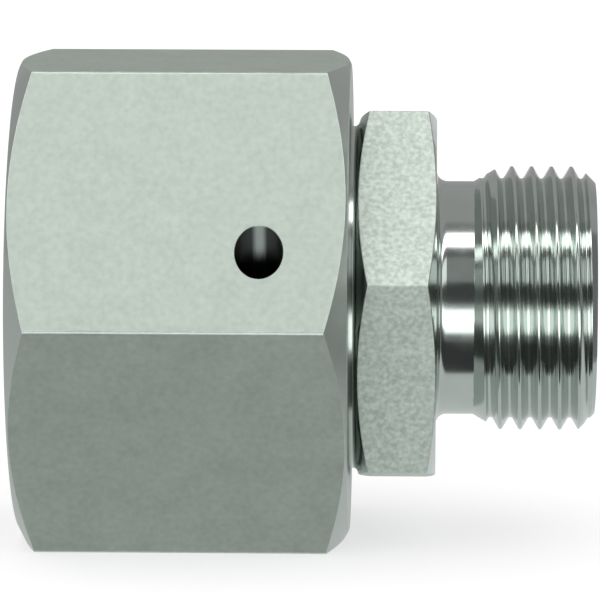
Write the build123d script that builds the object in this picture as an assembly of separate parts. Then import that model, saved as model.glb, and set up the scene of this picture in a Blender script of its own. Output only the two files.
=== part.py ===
from build123d import *

import os
from math import cos, degrees, radians, sin, tan

# Reducing coupling for hydraulic tube, turned from stainless steel bar.
# The big end is a 24 degree sealing cone with an O-ring, drawn in by a hexagon swivel nut.
# The small end is a male stud with a 24 degree socket, for the next tube size down.
# A round wire lies half in the body and half in the nut, and holds the two together.
#
# The flow axis is X, with the stud towards +X, and the origin is at the middle of the length.
# The coupling lies on a flat of its nut. Sizes are in millimetres, angles in degrees.
# An angle round the axis is counted from +Y towards +Z.

# Sealing cone and O-ring, for 20 mm tube
wide_bore_d = 14.0
tip_wall = 3.0
pilot_step = 0.1
pilot_length = 1.2
tip_chamfer = 0.4
seal_angle = 24.0
cone_rise = 2.0
seal_land = 1.5
o_ring_section = 2.4
o_ring_proud = 0.4
o_ring_groove_width = 3.2
o_ring_clearance = 0.03

# Shank, the plain barrel that the nut turns on
cone_shoulder = 1.0
shank_chamfer = 0.4
swivel_clearance = 0.15
shank_lead_in = 0.5

# Swivel nut, M30 x 2 on 36 mm flats
nut_length = 25.0
nut_thread_rise = 1.85
nut_thread_pitch = 2.0
nut_mouth_rise = 0.3
nut_relief_rise = 0.2
nut_relief_width = 3.0
nut_bore_chamfer = 0.4
nut_wall = 2.8
nut_face_inset = 0.3
nut_chamfer_angle = 28.0
nut_turn = 0.0

# Retaining wire, and the hole that it is fed through
wire_d = 3.0
wire_clearance = 0.08
wire_setback = 6.4
wire_shank_ahead = 3.6
wire_end_gap = 3.0
feed_hole_d = 3.5
feed_angle = 32.5
feed_flat = 3

# Body hexagon, 27 mm flats
neck_gap = 0.5
hex_step = 0.5
hex_length = 6.0
hex_turn = -10.5
hex_front_angle = 20.0
hex_back_inset = 0.1
hex_back_angle = 16.0

# Male stud, M20 x 1.5, with its relief beside the hexagon
stud_thread_d = 20.0
stud_length = 12.0
stud_end_chamfer = 1.2
relief_depth = 1.15
relief_floor = 2.8
relief_corner_r = 0.8
relief_ramp_angle = 30.0

# Socket in the stud, for 12 mm tube, and the passage behind it
tube_d = 12.0
tube_clearance = 0.1
socket_depth = 7.5
socket_mouth_rise = 1.05
narrow_bore_d = 8.0
drill_point_angle = 118.0
wide_bore_past_neck = 3.0

# Depth of an internal ISO thread's flank, as a share of the pitch, on each side
INTERNAL_THREAD_DEPTH = 0.5413

# Distances from the axis, from the bore outwards
wide_bore_r = wide_bore_d / 2
cone_tip_r = wide_bore_r + tip_wall
cone_root_r = cone_tip_r + cone_rise
shank_r = cone_root_r + cone_shoulder
nut_bore_r = shank_r + swivel_clearance
wire_ring_r = (shank_r + nut_bore_r) / 2
nut_thread_r = nut_bore_r + nut_thread_rise
nut_minor_r = nut_thread_r - INTERNAL_THREAD_DEPTH * nut_thread_pitch
nut_relief_r = nut_thread_r + nut_relief_rise
nut_across_flats = 2 * (nut_relief_r + nut_wall)
hex_across_flats = 2 * (shank_r + hex_step)

# Places along the axis
overall_length = nut_length + neck_gap + hex_length + stud_length
x_mouth = -overall_length / 2
x_nut_back = x_mouth + nut_length
x_hex_front = x_nut_back + neck_gap
x_hex_back = x_hex_front + hex_length
x_stud_end = x_hex_back + stud_length
x_wire = x_nut_back - wire_setback
x_shoulder = x_wire - wire_shank_ahead
x_nut_bore = x_shoulder - shank_lead_in

# The cone narrows by this much for each millimetre towards its tip
cone_slope = tan(radians(seal_angle / 2))
x_cone_tip = x_shoulder - cone_rise / cone_slope
x_nose_tip = x_cone_tip - pilot_length

# The O-ring stands a little proud of the cone, half way along its groove
x_o_ring = x_cone_tip + seal_land + o_ring_groove_width / 2
cone_r_at_o_ring = cone_tip_r + (x_o_ring - x_cone_tip) * cone_slope
o_ring_floor_r = cone_r_at_o_ring + o_ring_proud - o_ring_section

# The feed hole touches the wire's ring at its inner end and comes out through one flat.
# These are the directions of that flat, of the hole's outer end and of the touching point.
flat_angle = nut_turn + 60 * feed_flat - 30
drill_angle = flat_angle - feed_angle
entry_angle = drill_angle + 90


def turned(*outline):
    """A solid of revolution about X, from a closed outline of (x, radius) points."""
    return revolve(make_face(Polyline(*outline, close=True)), Axis.X)


def half_round_race():
    """The ring that is cut from the shank and from the nut's bore to take the wire."""
    section = Pos(x_wire, wire_ring_r) * Circle(wire_d / 2 + wire_clearance)
    return revolve(section, Axis.X)


def hexagon_bar(across_flats, x_start, length, turn):
    """A length of hexagon bar along X, with a corner turned by an angle from +Y."""
    outline = RegularPolygon(across_flats / 2, 6, major_radius=False)
    return Pos(x_start, 0, 0) * Rot(X=turn) * extrude(Plane.YZ * outline, length)


def chamfered_hexagon(across_flats, x_start, length, turn, front, back):
    """Hexagon bar with a cone turned on each end; front and back are (face radius, angle)."""
    blank_r = across_flats
    (front_r, front_angle), (back_r, back_angle) = front, back
    x_end = x_start + length
    blank = turned(
        (x_start, 0),
        (x_start, front_r),
        (x_start + (blank_r - front_r) * tan(radians(front_angle)), blank_r),
        (x_end - (blank_r - back_r) * tan(radians(back_angle)), blank_r),
        (x_end, back_r),
        (x_end, 0),
    )
    return blank & hexagon_bar(across_flats, x_start, length, turn)


def sealing_nose():
    """The 24 degree cone with its pilot and O-ring groove, back to the shoulder of the shank."""
    pilot_r = cone_tip_r - pilot_step
    nose = turned(
        (x_nose_tip, 0),
        (x_nose_tip, pilot_r - tip_chamfer),
        (x_nose_tip + tip_chamfer, pilot_r),
        (x_cone_tip, pilot_r),
        (x_cone_tip, cone_tip_r),
        (x_shoulder, cone_root_r),
        (x_shoulder, 0),
    )
    groove_start = x_o_ring - o_ring_groove_width / 2
    groove_end = x_o_ring + o_ring_groove_width / 2
    groove = turned(
        (groove_start, o_ring_floor_r),
        (groove_start, shank_r),
        (groove_end, shank_r),
        (groove_end, o_ring_floor_r),
    )
    return nose - groove


def shank():
    """The barrel from the cone's shoulder to the hexagon, with the wire's race cut in it."""
    barrel = turned(
        (x_shoulder, 0),
        (x_shoulder, shank_r - shank_chamfer),
        (x_shoulder + shank_chamfer, shank_r),
        (x_hex_front, shank_r),
        (x_hex_front, 0),
    )
    return barrel - half_round_race()


def male_stud():
    """The stud at its thread's outer diameter, with the relief behind it and a chamfered end."""
    stud_r = stud_thread_d / 2
    floor_r = stud_r - relief_depth
    corner = relief_corner_r
    ramp_start = x_hex_back + relief_floor
    ramp_end = ramp_start + (stud_r - floor_r) / tan(radians(relief_ramp_angle))
    fillet_top = (x_hex_back, floor_r + corner)
    fillet_foot = (x_hex_back + corner, floor_r)
    centre = (x_hex_back + corner, floor_r + corner)
    fillet_middle = (centre[0] - corner * cos(radians(45)), centre[1] - corner * sin(radians(45)))
    edge = ThreePointArc(fillet_top, fillet_middle, fillet_foot) + Polyline(
        fillet_foot,
        (ramp_start, floor_r),
        (ramp_end, stud_r),
        (x_stud_end - stud_end_chamfer, stud_r),
        (x_stud_end, stud_r - stud_end_chamfer),
        (x_stud_end, 0),
        (x_hex_back, 0),
        fillet_top,
    )
    return revolve(make_face(edge), Axis.X)


def flow_passage():
    """Everything that is bored out of the body, from the nose to the stud's end."""
    narrow_r = narrow_bore_d / 2
    socket_r = tube_d / 2 + tube_clearance
    x_wide_end = x_hex_front + wide_bore_past_neck
    x_narrow = x_wide_end + (wide_bore_r - narrow_r) / tan(radians(drill_point_angle / 2))
    x_stop = x_stud_end - socket_depth
    return turned(
        (x_nose_tip, 0),
        (x_nose_tip, wide_bore_r),
        (x_wide_end, wide_bore_r),
        (x_narrow, narrow_r),
        (x_stop, narrow_r),
        (x_stop, socket_r),
        (x_stud_end - socket_mouth_rise / cone_slope, socket_r),
        (x_stud_end, socket_r + socket_mouth_rise),
        (x_stud_end, 0),
    )


def coupling_body():
    """The turned body in one piece: nose, shank, hexagon and stud, bored through."""
    hexagon = chamfered_hexagon(
        hex_across_flats,
        x_hex_front,
        hex_length,
        hex_turn,
        (shank_r, hex_front_angle),
        (hex_across_flats / 2 - hex_back_inset, hex_back_angle),
    )
    return sealing_nose() + shank() + hexagon + male_stud() - flow_passage()


def nut_bore():
    """The nut's inside: thread at its inner diameter, relief, and the plain bore on the shank."""
    mouth_r = nut_thread_r + nut_mouth_rise
    x_relief = x_nut_bore - nut_relief_width
    return turned(
        (x_mouth, 0),
        (x_mouth, mouth_r),
        (x_mouth + mouth_r - nut_minor_r, nut_minor_r),
        (x_relief - (nut_relief_r - nut_minor_r), nut_minor_r),
        (x_relief, nut_relief_r),
        (x_nut_bore - (nut_relief_r - nut_bore_r), nut_relief_r),
        (x_nut_bore, nut_bore_r),
        (x_nut_back - nut_bore_chamfer, nut_bore_r),
        (x_nut_back, nut_bore_r + nut_bore_chamfer),
        (x_nut_back, 0),
    )


def feed_hole():
    """The drilled hole that runs into the race along its tangent, from outside the flat."""
    entry = Vector(
        x_wire,
        wire_ring_r * cos(radians(entry_angle)),
        wire_ring_r * sin(radians(entry_angle)),
    )
    outward = Vector(0, cos(radians(drill_angle)), sin(radians(drill_angle)))
    start = Plane(origin=entry, x_dir=(1, 0, 0), z_dir=outward)
    return extrude(start * Circle(feed_hole_d / 2), nut_across_flats)


def swivel_nut():
    """The nut, chamfered at both ends, with its half of the race and the feed hole."""
    end = (nut_across_flats / 2 - nut_face_inset, nut_chamfer_angle)
    hexagon = chamfered_hexagon(nut_across_flats, x_mouth, nut_length, nut_turn, end, end)
    return hexagon - nut_bore() - half_round_race() - feed_hole()


def retaining_wire():
    """Round wire bent into an open ring; its ends stop either side of the feed hole's foot."""
    gap_angle = degrees(wire_end_gap / wire_ring_r)
    section = Pos(x_wire, wire_ring_r) * Circle(wire_d / 2)
    return Rot(X=entry_angle) * revolve(section, Axis.X, 360 - gap_angle)


def o_ring():
    """The rubber ring, stretched over the floor of its groove in the cone."""
    ring_r = o_ring_floor_r + o_ring_clearance + o_ring_section / 2
    return revolve(Pos(x_o_ring, ring_r) * Circle(o_ring_section / 2), Axis.X)


os.makedirs("parts", exist_ok=True)
for piece in (coupling_body, swivel_nut, retaining_wire, o_ring):
    export_step(piece(), f"parts/{piece.__name__}.step")
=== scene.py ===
from math import ceil, cos, degrees, pi, radians, sin, tan

import bmesh
import bpy
import numpy as np
from mathutils import Matrix, Vector


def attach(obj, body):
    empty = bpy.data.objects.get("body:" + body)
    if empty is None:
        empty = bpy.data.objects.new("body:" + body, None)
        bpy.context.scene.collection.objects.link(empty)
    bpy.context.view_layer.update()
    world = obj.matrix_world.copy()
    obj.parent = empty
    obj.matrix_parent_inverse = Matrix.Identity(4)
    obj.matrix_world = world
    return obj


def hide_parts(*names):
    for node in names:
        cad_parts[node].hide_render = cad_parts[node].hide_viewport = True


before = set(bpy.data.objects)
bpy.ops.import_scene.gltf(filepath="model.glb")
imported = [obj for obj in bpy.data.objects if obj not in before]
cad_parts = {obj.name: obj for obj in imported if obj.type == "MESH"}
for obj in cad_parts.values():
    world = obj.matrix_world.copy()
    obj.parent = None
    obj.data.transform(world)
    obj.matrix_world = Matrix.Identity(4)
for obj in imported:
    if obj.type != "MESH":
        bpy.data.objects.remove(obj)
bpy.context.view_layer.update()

# Coupling body
# One piece of stainless bar: sealing nose, shank, hexagon and threaded stud, bored through.
# It is turned all over on a lathe, apart from the flats, which are milled and tumbled.

# Sizes are in mm and angles in degrees. MM makes metres of mm, and AROUND is the steps in a turn
MM = 0.001
AROUND = 180

bore_r = 7.0
nose_tip_r = 9.5
pilot_r = 9.9
cone_tip_r = 10.0
cone_root_r = 12.0
shank_r = 13.0
shank_chamfer = 0.4
hexagon_flats = 27.0
hexagon_turn = -10.5
hexagon_front = 3.75
hexagon_back = 9.75
front_cone_angle = 20.0
back_cone_angle = 16.0
back_face_r = 13.4
relief_r = 8.85
relief_corner = 0.8
relief_foot = 12.55
stud_r = 10.0
stud_end = 21.75
stud_end_r = 8.8
socket_mouth_r = 7.15
socket_r = 6.1
socket_stop = 14.25
narrow_r = 4.0
wide_bore_end = 6.75
drill_point_angle = 118.0
drill_slope = 1 / tan(radians(drill_point_angle / 2))
shoulder = -6.75
# The sealing cones have 24 degrees between their sides
seal_slope = tan(radians(12.0))
cone_tip = shoulder - (cone_root_r - cone_tip_r) / seal_slope
pilot_length = 1.2
nose_tip = cone_tip - pilot_length
groove_from_tip = 1.5
groove_width = 3.2
groove_front = cone_tip + groove_from_tip
groove_back = groove_front + groove_width
groove_floor_r = 8.659
wire_x = -3.15
wire_ring_r = 13.075
race_r = 1.58

# The stud's thread, M20 x 1.5: its crest passes the top of the stud at this place
stud_pitch = 1.5
stud_crest_at_top = 15.45
stud_root_r = 9.08
relief_ramp_angle = 30.0
thread_rounding = 0.2
rows_per_pitch = 24

# How far the edges are broken, and the steps round the relief's corner and round the race
edge_break = 0.08
face_edge_break = 0.05
front_edge_break = 0.22
bore_edge_break = 0.12
seat_edge_break = 0.1
widest_break = 0.25
bevel_steps = 3
corner_steps = 8
race_steps = 17


def ring(x, r, turn):
    """Points round the X axis; x and r are in mm, and either may change with the angle."""
    angles = radians(turn) + np.arange(AROUND) * 2 * pi / AROUND
    x = np.broadcast_to(x, AROUND)
    return np.stack([x, r * np.cos(angles), r * np.sin(angles)], axis=1) * MM


def hexagon_radii(across_flats):
    """The distance of a hexagon's outline from its middle, starting at a corner."""
    off_middle = (np.arange(AROUND) * 360 / AROUND) % 60 - 30
    return across_flats / 2 / np.cos(np.radians(off_middle))


def turned_and_milled(name, outline, across_flats, turn, corner_break, chamfer_break):
    """An open shell from a list of outline steps: (x, r, broken edge) or a hexagon's end.

    A hexagon's end is ("flats", place, face radius, angle, side), where side is 1 for the
    end that faces +X. Faces between two such ends are flats and take the second material.
    """
    mesh = bmesh.new()
    weight = mesh.edges.layers.float.new("bevel_weight_edge")
    rings = []
    for step in outline:
        if step[0] == "flats":
            _, place, face_r, angle, side = step
            radii = hexagon_radii(across_flats)
            points = ring(place - side * (radii - face_r) * tan(radians(angle)), radii, turn)
            breaking = chamfer_break
        else:
            x, r, breaking = step
            points = ring(x, r, turn)
        rings.append(([mesh.verts.new(p) for p in points], breaking, step[0] == "flats"))
    for (lower, _, lower_flat), (upper, _, upper_flat) in zip(rings, rings[1:]):
        for i in range(AROUND):
            j = (i + 1) % AROUND
            face = mesh.faces.new((lower[i], lower[j], upper[j], upper[i]))
            face.material_index = int(lower_flat and upper_flat)
            if lower_flat and upper_flat and i % (AROUND // 6) == 0:
                mesh.edges.get((lower[i], upper[i]))[weight] = corner_break / widest_break
    for verts, breaking, _ in rings:
        for i in range(AROUND):
            edge = mesh.edges.get((verts[i], verts[(i + 1) % AROUND]))
            edge[weight] = breaking / widest_break
    data = bpy.data.meshes.new(name)
    mesh.to_mesh(data)
    mesh.free()
    return data


def arc(x, r, radius, first, last, steps):
    """Outline steps along a round corner, with angles from +X towards larger radii."""
    angles = np.radians(np.linspace(first, last, steps))
    return [(x + radius * cos(a), r + radius * sin(a), 0) for a in angles]


def add_node(tree, kind, inputs=(), **settings):
    """A node with its settings, and its inputs as values or as sockets to link."""
    node = tree.nodes.new(kind)
    for name, value in settings.items():
        setattr(node, name, value)
    for key, value in dict(inputs).items():
        socket = node.inputs[key]
        if isinstance(value, bpy.types.NodeSocket):
            tree.links.new(value, socket)
        else:
            socket.default_value = value
    return node


def add_object(name, data):
    """An object of the scene with this data."""
    added = bpy.data.objects.new(name, data)
    bpy.context.scene.collection.objects.link(added)
    return added


def add_piece(name, mesh, finishes):
    """A smooth object made from a working mesh, which is used up, with these materials."""
    bmesh.ops.recalc_face_normals(mesh, faces=mesh.faces)
    for face in mesh.faces:
        face.smooth = True
    data = bpy.data.meshes.new(name)
    mesh.to_mesh(data)
    mesh.free()
    for finish in finishes:
        data.materials.append(finish)
    return add_object(name, data)


def thread_tree():
    """Geometry Nodes: a screw thread cut in a bar or a bore that tapers at both its ends."""
    # The flanks of a metric thread stand 60 degrees apart
    flank_slope = tan(radians(30.0))
    tree = bpy.data.node_groups.new("screw_thread", "GeometryNodeTree")
    sizes = (
        "Pitch", "Crest Radius", "Depth", "Half Crest", "Rounding", "Outside",
        "Start", "Start Radius", "Start Slope", "End", "End Radius", "End Slope",
        "Crest At Turn", "Turn",
    )
    for size in sizes:
        tree.interface.new_socket(size, in_out="INPUT", socket_type="NodeSocketFloat")
    for count in ("Around", "Rows Per Pitch", "Rows"):
        tree.interface.new_socket(count, in_out="INPUT", socket_type="NodeSocketInt")
    tree.interface.new_socket("Finish", in_out="INPUT", socket_type="NodeSocketMaterial")
    tree.interface.new_socket("Mesh", in_out="OUTPUT", socket_type="NodeSocketGeometry")
    given = add_node(tree, "NodeGroupInput").outputs

    def calc(operation, *values):
        """The output of a maths node, whose values are numbers or sockets."""
        inputs = {i: v for i, v in enumerate(values)}
        return add_node(tree, "ShaderNodeMath", inputs, operation=operation).outputs[0]

    row_step = calc("DIVIDE", given["Pitch"], given["Rows Per Pitch"])
    length = calc("MULTIPLY", row_step, calc("SUBTRACT", given["Rows"], 1.0))
    grid = add_node(tree, "GeometryNodeMeshGrid", {
        "Size X": length,
        "Size Y": 2 * pi,
        "Vertices X": given["Rows"],
        "Vertices Y": calc("ADD", given["Around"], 1.0),
    })
    here = add_node(tree, "GeometryNodeInputPosition").outputs[0]
    place = add_node(tree, "ShaderNodeSeparateXYZ", {0: here})
    along = calc("ADD", place.outputs["X"], calc("DIVIDE", length, 2.0))
    angle = calc("ADD", place.outputs["Y"], pi)
    # Each row of the grid follows the helix, one pitch in a turn
    row_x = calc("ADD", calc("SUBTRACT", given["Start"], given["Pitch"]), along)
    share_of_turn = calc("DIVIDE", angle, 2 * pi)
    free_x = calc("ADD", row_x, calc("MULTIPLY", given["Pitch"], share_of_turn))
    x = calc("MINIMUM", calc("MAXIMUM", free_x, given["Start"]), given["End"])
    turns = calc("DIVIDE", calc("SUBTRACT", row_x, given["Crest At Turn"]), given["Pitch"])
    from_crest = calc("ABSOLUTE", calc("SUBTRACT", turns, calc("ROUND", turns)))
    off_crest = calc("SUBTRACT", calc("MULTIPLY", from_crest, given["Pitch"]), given["Half Crest"])
    flank = calc("DIVIDE", off_crest, flank_slope)
    rounded_root = calc("SMOOTH_MIN", flank, given["Depth"], given["Rounding"])
    # The crest is rounded a third as much as the root
    cut = calc("SMOOTH_MAX", rounded_root, 0.0, calc("DIVIDE", given["Rounding"], 3.0))
    # Outside is 1 on a bar. It is -1 in a bore, whose radii count as negative up to the last step
    side = given["Outside"]
    thread = calc("SUBTRACT", calc("MULTIPLY", given["Crest Radius"], side), cut)

    def taper(end, distance):
        """The line of a chamfer or a ramp, from the radius that its end has."""
        end_radius = calc("MULTIPLY", given[end + " Radius"], side)
        return calc("ADD", end_radius, calc("MULTIPLY", distance, given[end + " Slope"]))

    start_line = taper("Start", calc("SUBTRACT", x, given["Start"]))
    end_line = taper("End", calc("SUBTRACT", given["End"], x))
    signed = calc("MINIMUM", thread, calc("MINIMUM", start_line, end_line))
    radius = calc("ABSOLUTE", signed)
    turned_angle = calc("ADD", angle, given["Turn"])
    position = add_node(tree, "ShaderNodeCombineXYZ", {
        "X": x,
        "Y": calc("MULTIPLY", radius, calc("COSINE", turned_angle)),
        "Z": calc("MULTIPLY", radius, calc("SINE", turned_angle)),
    })
    placed = add_node(tree, "GeometryNodeSetPosition", {
        "Geometry": grid.outputs["Mesh"], "Position": position.outputs[0],
    })
    merged = add_node(tree, "GeometryNodeMergeByDistance", {
        "Geometry": placed.outputs[0], "Distance": 0.002 * MM,
    })
    real = add_node(tree, "GeometryNodeRealizeInstances", {0: merged.outputs[0]})
    finished = add_node(tree, "GeometryNodeSetMaterial", {
        "Geometry": real.outputs[0], "Material": given["Finish"],
    })
    add_node(tree, "NodeGroupOutput", {0: finished.outputs[0]})
    return tree


def thread_rows(start, end, pitch):
    """The rows of a thread's grid, which is a pitch longer than the thread."""
    return ceil((end - start + pitch) * rows_per_pitch / pitch) + 1


def made_by_nodes(name, tree, values):
    """The mesh that a node tree makes with these inputs, and nothing else left of it."""
    maker = add_object(name + "_maker", bpy.data.meshes.new(name + "_maker"))
    modifier = maker.modifiers.new("maker", "NODES")
    modifier.node_group = tree
    for item in tree.interface.items_tree:
        if item.in_out == "INPUT" and item.name in values:
            modifier[item.identifier] = values[item.name]
    evaluated = maker.evaluated_get(bpy.context.evaluated_depsgraph_get())
    data = bpy.data.meshes.new_from_object(evaluated)
    bpy.data.objects.remove(maker)
    return data


def join_shells(name, first, second, finishes):
    """One closed mesh from two open ones that share their end rings."""
    mesh = bmesh.new()
    mesh.from_mesh(first)
    known = len(mesh.faces)
    mesh.from_mesh(second)
    mesh.faces.ensure_lookup_table()
    for face in mesh.faces[known:]:
        face.material_index = 0
    bmesh.ops.remove_doubles(mesh, verts=mesh.verts, dist=0.003 * MM)
    return add_piece(name, mesh, finishes)


def break_edges(piece):
    """A bevel that is as wide as each edge's own weight says."""
    bevel = piece.modifiers.new("broken edges", "BEVEL")
    bevel.limit_method = "WEIGHT"
    bevel.width = widest_break * MM
    bevel.segments = bevel_steps
    bevel.use_clamp_overlap = False
    return bevel


def finish_piece(piece):
    """Evens out the shading and puts the modifiers' result into the piece's own mesh."""
    even = piece.modifiers.new("even shading", "WEIGHTED_NORMAL")
    even.weight = 100
    evaluated = piece.evaluated_get(bpy.context.evaluated_depsgraph_get())
    data = bpy.data.meshes.new_from_object(evaluated)
    piece.modifiers.clear()
    piece.data = data


def colour(code):
    """A linear colour from an sRGB hex value."""
    channels = [int(code[i:i + 2], 16) / 255 for i in (1, 3, 5)]
    return [c / 12.92 if c <= 0.04045 else ((c + 0.055) / 1.055) ** 2.4 for c in channels] + [1.0]


def new_material(name):
    """An empty node material and its shader, already joined to the output."""
    material = bpy.data.materials.new(name)
    material.use_nodes = True
    tree = material.node_tree
    tree.nodes.clear()
    shader = add_node(tree, "ShaderNodeBsdfPrincipled")
    add_node(tree, "ShaderNodeOutputMaterial", {"Surface": shader.outputs[0]})
    return material, tree, shader


def per_metre(size_mm):
    """A texture scale from the size of one feature in mm."""
    return 1 / (size_mm * MM)


def lathe_turned(name, tint, feed_mm, smooth, rough):
    """Stainless steel as the lathe leaves it: bright, with rings as fine as the tool's feed."""
    material, tree, shader = new_material(name)
    place = add_node(tree, "ShaderNodeTexCoord").outputs["Object"]
    parts = add_node(tree, "ShaderNodeSeparateXYZ", {0: place})
    only_x = add_node(tree, "ShaderNodeCombineXYZ", {"X": parts.outputs["X"]})
    rings = add_node(tree, "ShaderNodeTexNoise", {
        "Vector": only_x.outputs[0], "Scale": per_metre(feed_mm), "Detail": 4.0, "Roughness": 0.7,
    })
    cloud = add_node(tree, "ShaderNodeTexNoise", {
        "Vector": place, "Scale": per_metre(2.5), "Detail": 3.0,
    })
    mixed = add_node(tree, "ShaderNodeMath", {
        0: rings.outputs[0], 1: cloud.outputs[0],
    }, operation="MULTIPLY")
    spread = add_node(tree, "ShaderNodeMapRange", {
        "Value": mixed.outputs[0], "From Min": 0.1, "From Max": 0.45,
        "To Min": smooth, "To Max": rough,
    })
    relief = add_node(tree, "ShaderNodeBump", {
        "Strength": 0.25, "Distance": 0.004 * MM, "Height": rings.outputs[0],
    })
    shade = add_node(tree, "ShaderNodeMix", {
        "Factor": cloud.outputs[0], "A": colour(tint[0]), "B": colour(tint[1]),
    }, data_type="RGBA")
    tree.links.new(shade.outputs["Result"], shader.inputs["Base Color"])
    tree.links.new(spread.outputs[0], shader.inputs["Roughness"])
    tree.links.new(relief.outputs[0], shader.inputs["Normal"])
    shader.inputs["Metallic"].default_value = 1.0
    return material


def satin_flat(name, tints, grain_mm, clouding, rough, strength):
    """Stainless steel with a satin skin: matt, with grain and fine pits that scatter the light."""
    material, tree, shader = new_material(name)
    place = add_node(tree, "ShaderNodeTexCoord").outputs["Object"]
    grit = add_node(tree, "ShaderNodeTexNoise", {
        "Vector": place, "Scale": per_metre(grain_mm), "Detail": 1.5, "Roughness": 0.5,
    })
    cloud = add_node(tree, "ShaderNodeTexNoise", {
        "Vector": place, "Scale": per_metre(grain_mm * 5), "Detail": 2.0,
    })
    both = add_node(tree, "ShaderNodeMix", {
        "Factor": clouding, "A": grit.outputs[0], "B": cloud.outputs[0],
    })
    shade = add_node(tree, "ShaderNodeMapRange", {
        "Value": both.outputs[0], "From Min": 0.3, "From Max": 0.7,
    })
    tone = add_node(tree, "ShaderNodeMix", {
        "Factor": shade.outputs[0], "A": colour(tints[0]), "B": colour(tints[1]),
    }, data_type="RGBA")
    spread = add_node(tree, "ShaderNodeMapRange", {
        "Value": cloud.outputs[0], "From Min": 0.3, "From Max": 0.7,
        "To Min": rough - 0.02, "To Max": rough + 0.02,
    })
    relief = add_node(tree, "ShaderNodeBump", {
        "Strength": strength, "Distance": 0.01 * MM, "Height": grit.outputs[0],
    })
    tree.links.new(tone.outputs["Result"], shader.inputs["Base Color"])
    tree.links.new(spread.outputs[0], shader.inputs["Roughness"])
    tree.links.new(relief.outputs[0], shader.inputs["Normal"])
    shader.inputs["Metallic"].default_value = 1.0
    return material


# Turned bright: neck, chamfers and thread mirror the studio in sharp bands between faint rings
turned_body = lathe_turned(
    "stainless_steel_turned_body", ("#B8C0BB", "#C8CECA"), feed_mm=0.12, smooth=0.1, rough=0.2
)
# Tumbled: the flats are pale and matt, and speckled with pits, which are drawn coarser than life
tumbled_body = satin_flat(
    "stainless_steel_tumbled_body", ("#CAD3CB", "#E7EEE8"),
    grain_mm=0.36, clouding=0.0, rough=0.7, strength=0.3,
)

half_race = degrees(np.arcsin((wire_ring_r - shank_r) / race_r))
body_outline = [
    (relief_foot, relief_r, 0),
    *arc(hexagon_back + relief_corner, relief_r + relief_corner, relief_corner, -90, -180, corner_steps),
    (hexagon_back, back_face_r, face_edge_break),
    ("flats", hexagon_back, back_face_r, back_cone_angle, 1),
    ("flats", hexagon_front, shank_r, front_cone_angle, -1),
    (hexagon_front, shank_r, front_edge_break),
    *arc(wire_x, wire_ring_r, race_r, -half_race, -180 + half_race, race_steps),
    (shoulder + shank_chamfer, shank_r, edge_break),
    (shoulder, shank_r - shank_chamfer, edge_break),
    (shoulder, cone_root_r, 0),
    (groove_back, cone_tip_r + (groove_back - cone_tip) * seal_slope, seat_edge_break),
    (groove_back, groove_floor_r, 0),
    (groove_front, groove_floor_r, 0),
    (groove_front, cone_tip_r + (groove_front - cone_tip) * seal_slope, seat_edge_break),
    (cone_tip, cone_tip_r, 0),
    (cone_tip, pilot_r, 0),
    (nose_tip + pilot_r - nose_tip_r, pilot_r, edge_break),
    (nose_tip, nose_tip_r, edge_break),
    (nose_tip, bore_r, bore_edge_break),
    (wide_bore_end, bore_r, 0),
    (wide_bore_end + (bore_r - narrow_r) * drill_slope, narrow_r, edge_break),
    (socket_stop, narrow_r, bore_edge_break),
    (socket_stop, socket_r, 0),
    (stud_end - (socket_mouth_r - socket_r) / seal_slope, socket_r, edge_break),
    (stud_end, socket_mouth_r, seat_edge_break),
    (stud_end, stud_end_r, 0),
]
body_shell = turned_and_milled(
    "coupling_body_shell", body_outline, hexagon_flats, hexagon_turn, edge_break, edge_break
)
screw_thread = thread_tree()
stud_thread = made_by_nodes("stud_thread", screw_thread, {
    "Pitch": stud_pitch * MM,
    "Crest Radius": stud_r * MM,
    "Depth": (stud_r - stud_root_r) * MM,
    "Half Crest": stud_pitch / 16 * MM,
    "Rounding": thread_rounding * MM,
    "Outside": 1.0,
    "Start": relief_foot * MM,
    "Start Radius": relief_r * MM,
    "Start Slope": tan(radians(relief_ramp_angle)),
    "End": stud_end * MM,
    "End Radius": stud_end_r * MM,
    "End Slope": 1.0,
    "Crest At Turn": (stud_crest_at_top - stud_pitch * (90 - hexagon_turn) / 360) * MM,
    "Turn": radians(hexagon_turn),
    "Around": AROUND,
    "Rows Per Pitch": rows_per_pitch,
    "Rows": thread_rows(relief_foot, stud_end, stud_pitch),
    "Finish": turned_body,
})
body = join_shells("coupling_body_machined", body_shell, stud_thread, (turned_body, tumbled_body))
break_edges(body)
finish_piece(body)
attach(body, "coupling")
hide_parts("coupling_body")

# Swivel nut
# Drawn stainless hexagon bar, chamfered at both ends, threaded M30 x 2 and bored to turn on
# the shank. The retaining wire is fed in through a hole drilled in one of its flats.

nut_flats = 36.0
nut_mouth = -21.75
nut_back = 3.25
nut_face_r = 17.7
nut_chamfer_angle = 28.0
nut_thread_pitch = 2.0
nut_thread_r = 15.0
nut_minor_r = 13.917
nut_first_crest = 0.6
nut_mouth_r = 15.3
nut_relief_r = 15.2
nut_relief_front = -10.25
nut_bore_start = -7.25
nut_bore_r = 13.15
nut_bore_chamfer = 0.4
nut_bore_break = 0.06
feed_hole_r = 1.75
feed_flat_angle = 150.0
feed_drill_angle = 117.5
feed_rim = 0.04
nut_corner_break = 0.18
nut_chamfer_break = 0.03

# Turned with a coarser feed: chamfers and mouth are a soft grey, without sharp mirror images
nut_turned = lathe_turned(
    "stainless_steel_turned_nut", ("#BCC2BE", "#CBD0CC"), feed_mm=0.14, smooth=0.34, rough=0.48
)
# Drawn bar: the flats have an even satin, with faint clouds and a grain drawn coarser than life
nut_drawn = satin_flat(
    "stainless_steel_drawn_hexagon", ("#B8C1B9", "#C8D1C9"),
    grain_mm=0.5, clouding=0.4, rough=0.6, strength=0.25,
)
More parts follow.
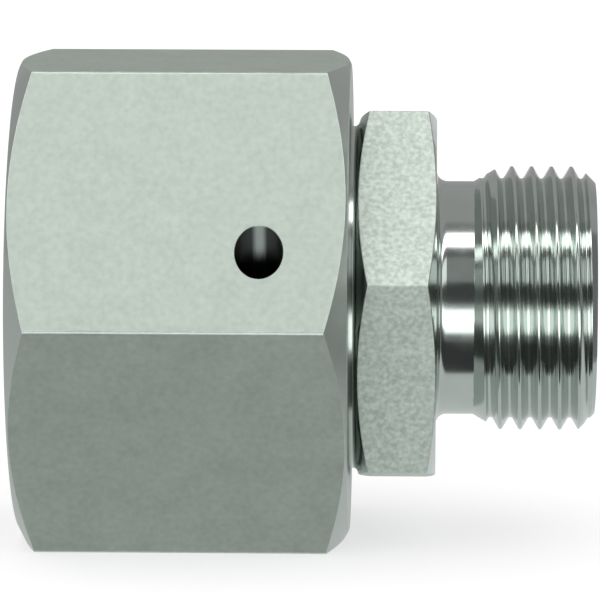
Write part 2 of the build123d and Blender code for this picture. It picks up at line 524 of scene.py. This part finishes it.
# Worn by spanners and handling, and tinted paler than the flats as a painted highlight: a thin pale line
# along each corner
nut_worn_edge_and_sheen = satin_flat(
    "stainless_steel_worn_edge_and_painted_sheen", ("#C4CEC8", "#DDE5DF"),
    grain_mm=0.4, clouding=0.6, rough=0.46, strength=0.2,
)


def drilled_bore_painted_light(name, drill_angle, unshaded_from, painted_shade_to):
    """The drilled wall: painted shade, near black deeper in the hole, and a painted highlight, a bright
    strip along the wall in line with the wire.

    Both places are distances from the nut's axis along the drill. The fine rings that the
    drill leaves stretch each highlight along the hole.
    """
    ring_spacing = 0.15
    painted_highlight_edge = 0.62
    painted_highlight_core = 0.12
    material, tree, shader = new_material(name)
    place = add_node(tree, "ShaderNodeTexCoord").outputs["Object"]
    drill = (0.0, cos(radians(drill_angle)), sin(radians(drill_angle)))
    out = add_node(tree, "ShaderNodeVectorMath", {0: place, 1: drill}, operation="DOT_PRODUCT")
    along_drill = add_node(tree, "ShaderNodeCombineXYZ", {"X": out.outputs["Value"]})
    rings = add_node(tree, "ShaderNodeTexNoise", {
        "Vector": along_drill.outputs[0], "Scale": per_metre(ring_spacing), "Detail": 2.0,
    })
    # Painted shade: the wall's colour turns near black deeper in the hole, towards the race
    painted_shade = add_node(tree, "ShaderNodeMapRange", {
        "Value": out.outputs["Value"], "From Min": painted_shade_to * MM, "From Max": unshaded_from * MM,
    }, interpolation_type="SMOOTHSTEP")
    parts = add_node(tree, "ShaderNodeSeparateXYZ", {0: place})
    off_wire = add_node(tree, "ShaderNodeMath", {
        0: parts.outputs["X"], 1: wire_x * MM,
    }, operation="SUBTRACT")
    off_middle = add_node(tree, "ShaderNodeMath", {0: off_wire.outputs[0]}, operation="ABSOLUTE")
    # Painted highlight: a pale strip along the wall in line with the wire, between darker grey sides
    painted_highlight = add_node(tree, "ShaderNodeMapRange", {
        "Value": off_middle.outputs[0], "From Min": painted_highlight_edge * MM, "From Max": painted_highlight_core * MM,
    }, interpolation_type="SMOOTHSTEP")
    wall_and_painted_highlight = add_node(tree, "ShaderNodeMix", {
        "Factor": painted_highlight.outputs[0], "A": colour("#545A56"), "B": colour("#CCD4D0"),
    }, data_type="RGBA")
    tone = add_node(tree, "ShaderNodeMix", {
        "Factor": painted_shade.outputs[0], "A": colour("#1A1A1C"), "B": wall_and_painted_highlight.outputs["Result"],
    }, data_type="RGBA")
    spread = add_node(tree, "ShaderNodeMapRange", {
        "Value": rings.outputs[0], "From Min": 0.3, "From Max": 0.7,
        "To Min": 0.42, "To Max": 0.5,
    })
    axis = add_node(tree, "ShaderNodeCombineXYZ", dict(enumerate(drill)))
    tree.links.new(tone.outputs["Result"], shader.inputs["Base Color"])
    tree.links.new(spread.outputs[0], shader.inputs["Roughness"])
    tree.links.new(axis.outputs[0], shader.inputs["Tangent"])
    shader.inputs["Metallic"].default_value = 1.0
    shader.inputs["Anisotropic"].default_value = 1.0
    return material


# The feed hole's wall, with painted shade deeper in and a painted highlight along it
nut_drilled = drilled_bore_painted_light("stainless_steel_drilled_painted_light", feed_drill_angle, unshaded_from=12.4, painted_shade_to=10.8)
nut_finishes = (nut_turned, nut_drawn, nut_drilled, nut_worn_edge_and_sheen)
nut_relief_back = nut_bore_start - (nut_relief_r - nut_bore_r)
nut_half_race = degrees(np.arcsin((nut_bore_r - wire_ring_r) / race_r))
nut_outline = [
    (nut_relief_front, nut_relief_r, 0),
    (nut_relief_back, nut_relief_r, 0),
    (nut_bore_start, nut_bore_r, edge_break),
    *arc(wire_x, wire_ring_r, race_r, 180 - nut_half_race, nut_half_race, race_steps),
    (nut_back - nut_bore_chamfer, nut_bore_r, nut_bore_break),
    (nut_back, nut_bore_r + nut_bore_chamfer, nut_bore_break),
    (nut_back, nut_face_r, edge_break),
    ("flats", nut_back, nut_face_r, nut_chamfer_angle, 1),
    ("flats", nut_mouth, nut_face_r, nut_chamfer_angle, -1),
    (nut_mouth, nut_face_r, edge_break),
    (nut_mouth, nut_mouth_r, 0),
]
nut_shell = turned_and_milled(
    "swivel_nut_shell", nut_outline, nut_flats, 0.0, nut_corner_break, nut_chamfer_break
)
nut_thread = made_by_nodes("nut_thread", screw_thread, {
    "Pitch": nut_thread_pitch * MM,
    "Crest Radius": nut_minor_r * MM,
    "Depth": (nut_thread_r - nut_minor_r) * MM,
    "Half Crest": nut_thread_pitch / 8 * MM,
    "Rounding": thread_rounding * MM,
    "Outside": -1.0,
    "Start": nut_mouth * MM,
    "Start Radius": nut_mouth_r * MM,
    "Start Slope": 1.0,
    "End": nut_relief_front * MM,
    "End Radius": nut_relief_r * MM,
    "End Slope": 1.0,
    "Crest At Turn": (nut_mouth + nut_first_crest) * MM,
    "Turn": 0.0,
    "Around": AROUND,
    "Rows Per Pitch": rows_per_pitch,
    "Rows": thread_rows(nut_mouth, nut_relief_front, nut_thread_pitch),
    "Finish": nut_turned,
})


def join_rings(mesh, rings):
    """Faces from each ring of points to the next; a ring may be a single point."""
    for lower, upper in zip(rings, rings[1:]):
        count = max(len(lower), len(upper))
        for i in range(count):
            j = (i + 1) % count
            corners = (
                lower[i % len(lower)], lower[j % len(lower)],
                upper[j % len(upper)], upper[i % len(upper)],
            )
            mesh.faces.new(list(dict.fromkeys(corners)))


def feed_hole_cutter():
    """What the drill takes out, with the rim of the hole broken where it leaves the flat."""
    around = 72
    above_flat = 2.0
    # The middle and the foot of the rim's round, as shares of its width
    rim_middle_out = 0.3
    rim_middle_down = 0.35
    rim_foot_down = 1.1
    out = Vector((0, cos(radians(feed_flat_angle)), sin(radians(feed_flat_angle))))
    drill = Vector((0, cos(radians(feed_drill_angle)), sin(radians(feed_drill_angle))))
    across = Vector((1, 0, 0))
    sideways = drill.cross(across)
    in_plane = across.cross(out)
    if sideways.dot(in_plane) < 0:
        in_plane.negate()
    # The drill's line touches the wire's ring at its foot
    touching = radians(feed_drill_angle + 90)
    foot = Vector((wire_x, wire_ring_r * cos(touching), wire_ring_r * sin(touching)))
    lean = drill.dot(out)
    # The rim is an ellipse on the flat, longer along the drill's lean
    half_long = feed_hole_r / lean
    rings = [[], [], [], [], []]
    for i in range(around):
        a = 2 * pi * i / around
        inner = foot + across * feed_hole_r * cos(a) + sideways * feed_hole_r * sin(a)
        on_flat = inner + drill * ((nut_flats / 2 - inner.dot(out)) / lean)
        u = cos(a) / feed_hole_r
        w = sin(a) / half_long
        normal = (across * u + in_plane * w).normalized()
        rings[0].append(on_flat + normal * feed_rim + out * above_flat)
        rings[1].append(on_flat + normal * feed_rim)
        rings[2].append(on_flat + normal * feed_rim * rim_middle_out - drill * feed_rim * rim_middle_down)
        rings[3].append(on_flat - drill * feed_rim * rim_foot_down)
        rings[4].append(inner)
    mesh = bmesh.new()
    rows = [[mesh.verts.new(p * MM) for p in points] for points in rings]
    join_rings(mesh, rows)
    mesh.faces.new(rows[0])
    mesh.faces.new(rows[-1])
    # The cut keeps the numbers of its cutter's slots, so the cutter has the nut's
    for face in mesh.faces:
        face.material_index = nut_finishes.index(nut_drilled)
    return add_piece("feed_hole_cutter", mesh, nut_finishes)


nut = join_shells("swivel_nut_machined", nut_shell, nut_thread, nut_finishes)
bevel = break_edges(nut)
# The broken corners take the worn edge's paler tint, which is partly a painted highlight
bevel.material = nut_finishes.index(nut_worn_edge_and_sheen)
cutter = feed_hole_cutter()
drilled = nut.modifiers.new("feed hole", "BOOLEAN")
drilled.operation = "DIFFERENCE"
drilled.solver = "MANIFOLD"
drilled.object = cutter
finish_piece(nut)
bpy.data.objects.remove(cutter)
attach(nut, "nut")
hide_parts("swivel_nut")

# Retaining wire
# Drawn stainless spring wire, bent into an open ring in the races of the shank and the nut.
# It is pushed in through the feed hole, and holds the nut on while it turns.

wire_r = 1.5
wire_gap = 3.0
wire_gap_angle = degrees(wire_gap / wire_ring_r)
wire_start = feed_drill_angle + 90
wire_around = 24
wire_steps = 200
# Both ends of the wire are broken: over this angle they narrow to this share of its radius
wire_end_angle = 0.6
wire_end_share = 0.82

# Drawn bright: the rings of a turned piece run along the bent wire here, as a die's marks do
wire_finish = lathe_turned(
    "stainless_steel_drawn_wire", ("#AEB1AC", "#C4C7C2"), feed_mm=0.3, smooth=0.18, rough=0.3
)
wire_end = wire_start + 360 - wire_gap_angle
turns = np.radians(np.linspace(wire_start + wire_end_angle, wire_end - wire_end_angle, wire_steps))
first = turns[0] - radians(wire_end_angle)
last = turns[-1] + radians(wire_end_angle)
spots = [(first, 0.0), (first, wire_end_share), *((t, 1.0) for t in turns)]
spots += [(last, wire_end_share), (last, 0.0)]
mesh = bmesh.new()
rows = []
for turn, share in spots:
    row = []
    for i in range(wire_around if share else 1):
        a = 2 * pi * i / wire_around
        r = wire_ring_r + wire_r * share * sin(a)
        x = wire_x + wire_r * share * cos(a)
        row.append(mesh.verts.new(Vector((x, r * cos(turn), r * sin(turn))) * MM))
    rows.append(row)
join_rings(mesh, rows)
wire = add_piece("retaining_wire_drawn", mesh, [wire_finish])
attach(wire, "coupling")
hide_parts("retaining_wire")

# O-ring
# Moulded black rubber ring in the groove of the cone, which seals against the mating part.
# The two halves of its mould leave a fine flash line along the inside and the outside.

seal_section_r = 1.2
seal_clearance = 0.03
seal_x = groove_front + groove_width / 2
seal_ring_r = groove_floor_r + seal_clearance + seal_section_r
seal_around = 48
flash = 0.04
flash_places = (seal_around // 4, seal_around * 3 // 4)

# Moulded rubber: near black, with a dull skin and the faint grey bloom of its additives
rubber, tree, shader = new_material("nitrile_rubber_moulded")
place = add_node(tree, "ShaderNodeTexCoord").outputs["Object"]
bloom = add_node(tree, "ShaderNodeTexNoise", {"Vector": place, "Scale": per_metre(0.8), "Detail": 4.0})
shade = add_node(tree, "ShaderNodeMix", {
    "Factor": bloom.outputs[0], "A": colour("#161616"), "B": colour("#242322"),
}, data_type="RGBA")
dull = add_node(tree, "ShaderNodeMapRange", {
    "Value": bloom.outputs[0], "To Min": 0.35, "To Max": 0.6,
})
skin = add_node(tree, "ShaderNodeBump", {
    "Strength": 0.2, "Distance": 0.01 * MM, "Height": bloom.outputs[0],
})
tree.links.new(shade.outputs["Result"], shader.inputs["Base Color"])
tree.links.new(dull.outputs[0], shader.inputs["Roughness"])
tree.links.new(skin.outputs[0], shader.inputs["Normal"])

mesh = bmesh.new()
section = []
for i in range(seal_around):
    a = 2 * pi * i / seal_around
    swell = flash * (i in flash_places)
    section.append((seal_x + seal_section_r * cos(a), seal_ring_r + (seal_section_r + swell) * sin(a)))
rows = [[mesh.verts.new(p) for p in ring(x, r, 0.0)] for x, r in section]
join_rings(mesh, rows + rows[:1])
seal = add_piece("o_ring_moulded", mesh, [rubber])
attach(seal, "coupling")
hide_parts("o_ring")

# Studio: floor, light and camera
# A white floor under an even white sky, and cards that only the metal's reflections see.

floor_z = -18.01
floor_half = 3.0
floor_glow = 0.58
sky_strength = 1.12


def add_plate(name, corners, finish):
    """One flat face between corners that are given in metres."""
    data = bpy.data.meshes.new(name)
    data.from_pydata(corners, [], [tuple(range(len(corners)))])
    data.materials.append(finish)
    return add_object(name, data)


# Matt paper, made white by the sky and by a glow for the camera alone, so that the shadow stays
floor_paint, tree, shader = new_material("floor_white_paper")
shader.inputs["Base Color"].default_value = colour("#B4B4B4")
shader.inputs["Roughness"].default_value = 0.9
shader.inputs["Specular IOR Level"].default_value = 0.0
shader.inputs["Emission Color"].default_value = (1, 1, 1, 1)
to_camera = add_node(tree, "ShaderNodeLightPath").outputs["Is Camera Ray"]
paper_glow = add_node(tree, "ShaderNodeMath", {0: to_camera, 1: floor_glow}, operation="MULTIPLY")
tree.links.new(paper_glow.outputs[0], shader.inputs["Emission Strength"])
floor_corners = [
    (x * floor_half, y * floor_half, floor_z * MM) for x, y in ((-1, -1), (1, -1), (1, 1), (-1, 1))
]
floor = add_plate("floor", floor_corners, floor_paint)
# The steel also mirrors the cards below the floor, so the floor hides and shades none of them
floor.visible_glossy = False
floor.visible_shadow = False

world = bpy.data.worlds.new("studio")
bpy.context.scene.world = world
world.use_nodes = True
sky = world.node_tree.nodes["Background"]
sky.inputs["Color"].default_value = (1, 1, 1, 1)
sky.inputs["Strength"].default_value = sky_strength
world.cycles.sampling_method = "NONE"

# Cards of light and shade lie round the X axis, each from the last one's elevation down to its own.
# Its first number is that elevation, the second its brightness in the middle, where the camera's
# dark stand is, and the third its brightness towards both ends
card_reach = 0.9
card_half_length = 1.4
card_widest_turn = 20.0
stand_half_width = 0.13
plain = (1.0, 1.0, 1.0, 1.0)
# The low cards are a little greener than the high ones
cool = (0.96, 1.0, 0.99, 1.0)
cool_below = 50.0
highest = 180.0
cards = (
    ("back_low", 148.0, 0.4, 0.4),
    ("back_high", 86.0, 0.44, 0.44),
    ("top_grey", 73.0, 0.28, 0.28),
    ("softbox", 58.3, 3.8, 3.8),
    ("front_high_dark", 47.0, 0.15, 0.15),
    ("front_grey", 22.0, 0.31, 1.3),
    ("front_low_dark", 1.0, 0.06, 0.06),
    ("table_edge", -4.0, 0.4, 0.4),
    ("table_bright", -28.0, 2.2, 2.2),
    ("table_grey", -36.6, 0.2, 0.2),
    ("table_dark", -72.5, 0.05, 0.05),
    ("table_back", -180.0, 0.7, 0.7),
)


def add_card(name, corners, strength, tint):
    """A flat card with an even glow, seen only in reflections."""
    material = bpy.data.materials.new(name)
    material.use_nodes = True
    tree = material.node_tree
    tree.nodes.clear()
    glow = add_node(tree, "ShaderNodeEmission", {"Color": tint, "Strength": strength})
    add_node(tree, "ShaderNodeOutputMaterial", {"Surface": glow.outputs[0]})
    card = add_plate(name, corners, material)
    card.visible_camera = False
    card.visible_diffuse = False
    card.visible_transmission = False
    card.visible_volume_scatter = False
    card.visible_shadow = False


high = highest
for name, low, middle, ends in cards:
    tint = plain if low > cool_below else cool
    steps = ceil((high - low) / card_widest_turn)
    for i in range(steps):
        upper, lower = (radians(high + (low - high) * j / steps) for j in (i, i + 1))
        for part, left, right, strength in (
            ("left", -card_half_length, -stand_half_width, ends),
            ("middle", -stand_half_width, stand_half_width, middle),
            ("right", stand_half_width, card_half_length, ends),
        ):
            corners = [
                (x, -card_reach * cos(a), card_reach * sin(a))
                for x, a in ((left, upper), (right, upper), (right, lower), (left, lower))
            ]
            add_card(f"card_{name}_{i}_{part}", corners, strength, tint)
    high = low
for name, x, strength in (("left_end", -card_half_length, 0.35), ("right_end", card_half_length, 0.22)):
    add_card("card_" + name, [(x, -1, -1), (x, 1, -1), (x, 1, 1), (x, -1, 1)], strength, plain)

# The camera's lens, place and axes were fitted to the outline in the photo
camera_place = Vector((9.12, -370.23, 48.19))
camera_right = Vector((0.99964485, 0.0265622, 0.0021519))
camera_up = Vector((-0.00557893, 0.1296291, 0.99154686))
camera_back = Vector((0.02605872, -0.99120671, 0.12973125))
camera_data = bpy.data.cameras.new("camera")
camera_data.lens = 294.42
camera_data.sensor_width = 36.0
camera_data.clip_start = 0.01
camera = add_object("camera", camera_data)
axes = Matrix((camera_right, camera_up, camera_back)).transposed().to_4x4()
camera.matrix_world = Matrix.Translation(camera_place * MM) @ axes
bpy.context.scene.camera = camera
bpy.context.scene.view_settings.view_transform = "Standard"
